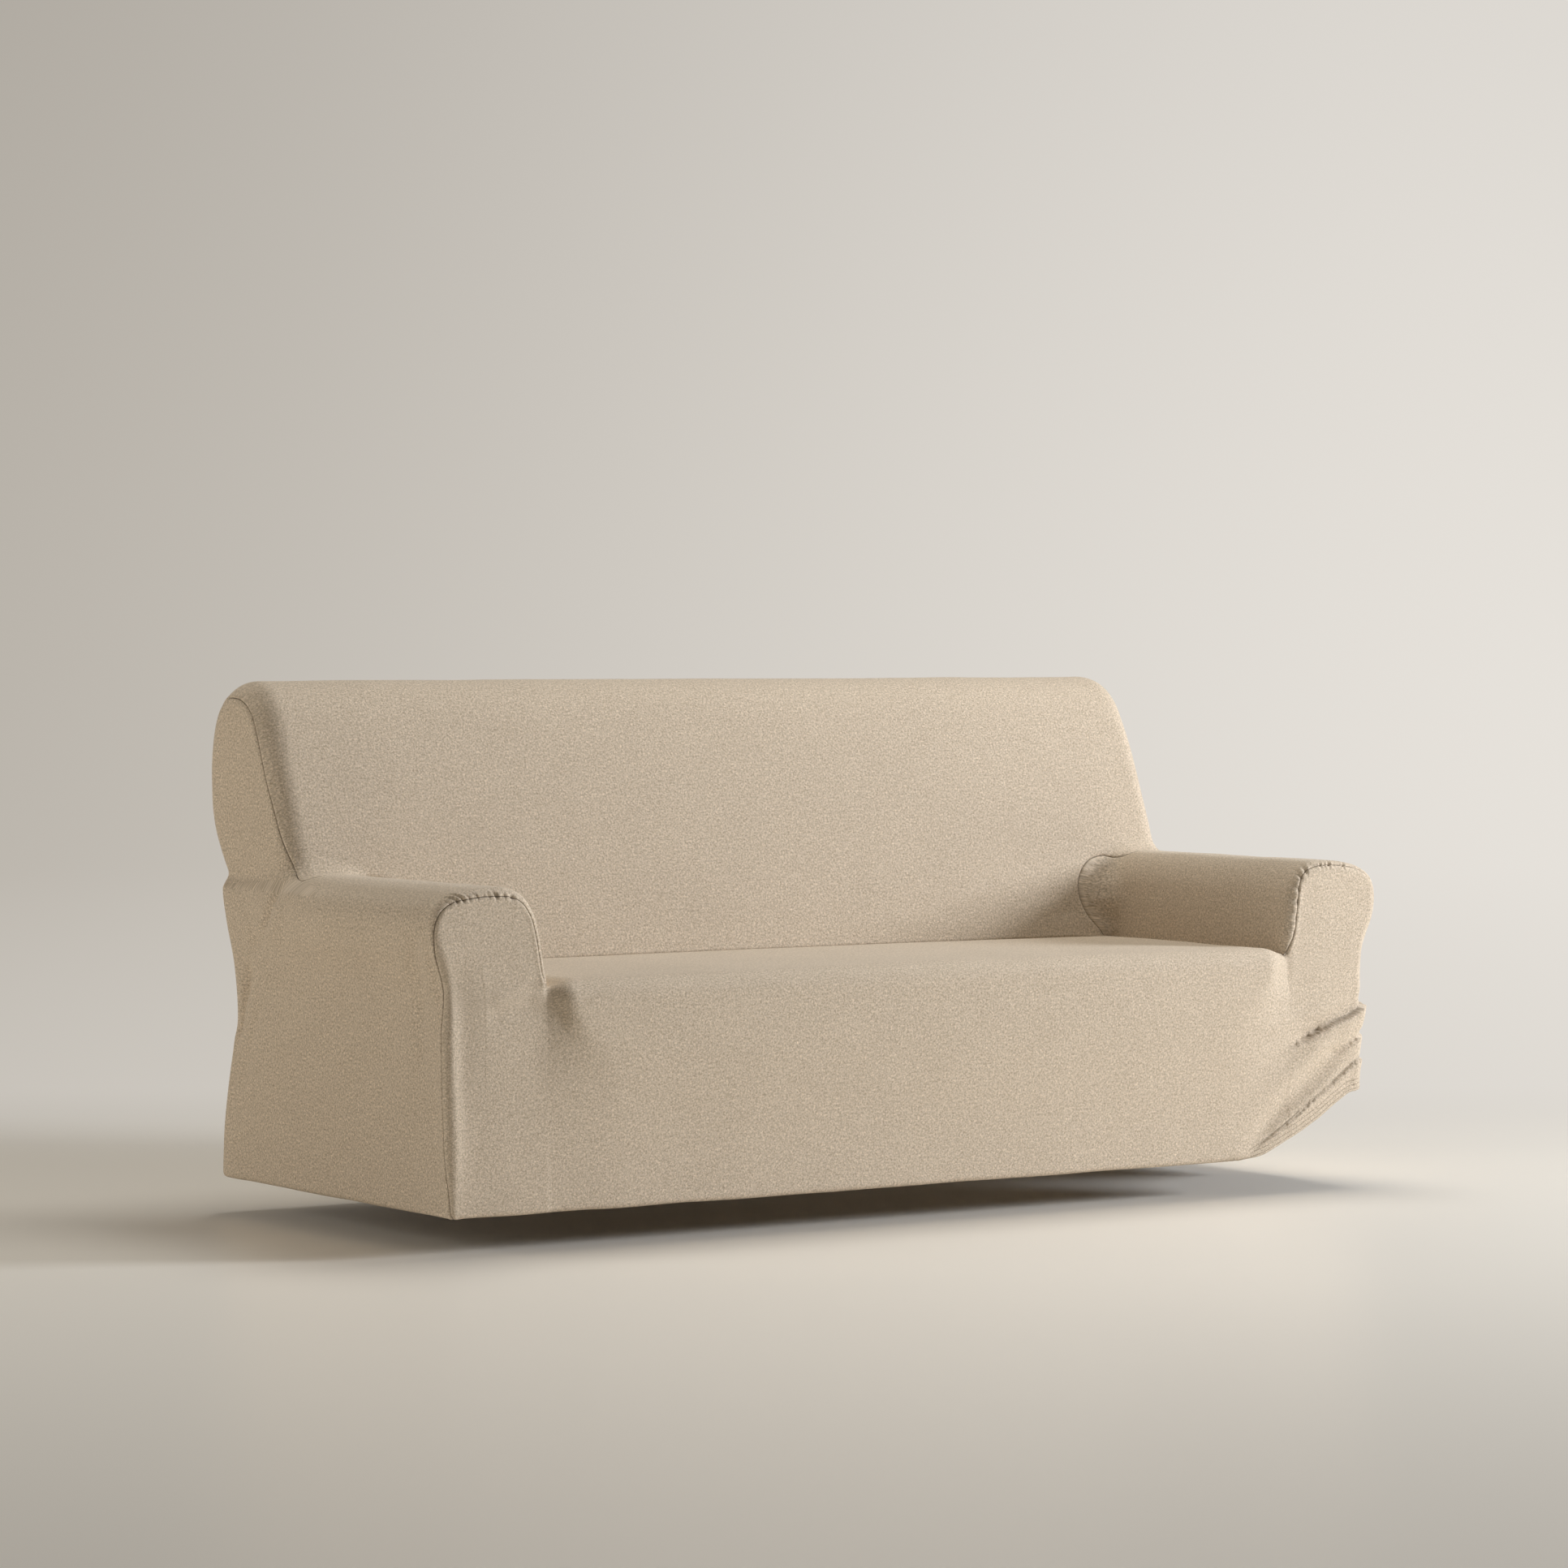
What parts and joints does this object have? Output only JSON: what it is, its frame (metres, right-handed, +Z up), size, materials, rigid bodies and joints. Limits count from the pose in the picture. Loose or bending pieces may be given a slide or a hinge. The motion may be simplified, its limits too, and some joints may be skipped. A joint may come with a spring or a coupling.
{
  "type": "fitted sofa slipcover",
  "caption": "Stretch-knit slipcover for a scroll-arm sofa with a raked back: hollow and open underneath, with a turned hem and one front corner pulled up.",
  "frame": {"origin": "middle of the open underside, level with the lowest edge of the hem; the floor is 63 mm below it when the cover is on its sofa", "axes": "+X along the sofa's width towards the right arm as seen from the front, -Y towards the front of the seat, +Z up"},
  "size_m": [2.0002, 0.9154, 0.867],
  "materials": {
    "knit_cloth": "matte heathered stretch knit, beige with cream and tan flecks"
  },
  "bodies": {
    "root": {"left_side_panel": "knit_cloth", "right_side_panel": "knit_cloth", "seat_front_panel": "knit_cloth", "back_panel": "knit_cloth"}
  },
  "joints": []
}
